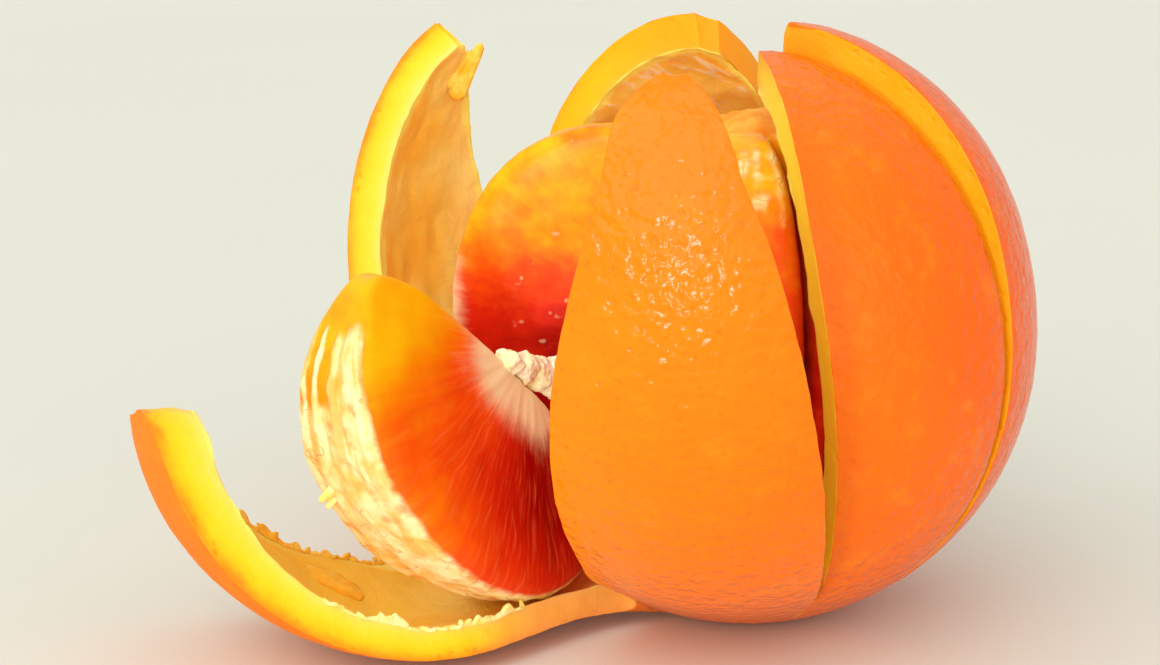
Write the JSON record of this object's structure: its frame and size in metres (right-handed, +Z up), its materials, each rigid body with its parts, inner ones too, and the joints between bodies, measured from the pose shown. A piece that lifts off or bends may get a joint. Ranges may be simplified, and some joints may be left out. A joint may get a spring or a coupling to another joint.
{
  "type": "partly peeled blood orange",
  "caption": "Blood orange in its opened peel: petals of rind joined at the base stand and fall open round the flesh, with a loose segment leaning out.",
  "frame": {"origin": "middle of the flat spot under the fruit, on the surface it rests on", "axes": "+Z up along the fruit's axis, +X to the right and -Y towards the viewer as pictured"},
  "size_m": [0.1159, 0.1074, 0.0779],
  "materials": {
    "peel": "waxy pebbled orange rind, with a yellow cut edge and a peach pith inside",
    "flesh": "moist membrane over red and orange juice sacs, with a cream pith on the back"
  },
  "bodies": {
    "root": {"peel": "peel", "segment_1": "flesh", "segment_2": "flesh", "segment_3": "flesh", "segment_4": "flesh", "segment_5": "flesh", "segment_6": "flesh", "segment_7": "flesh", "segment_8": "flesh", "loose_segment": "flesh"}
  },
  "joints": []
}
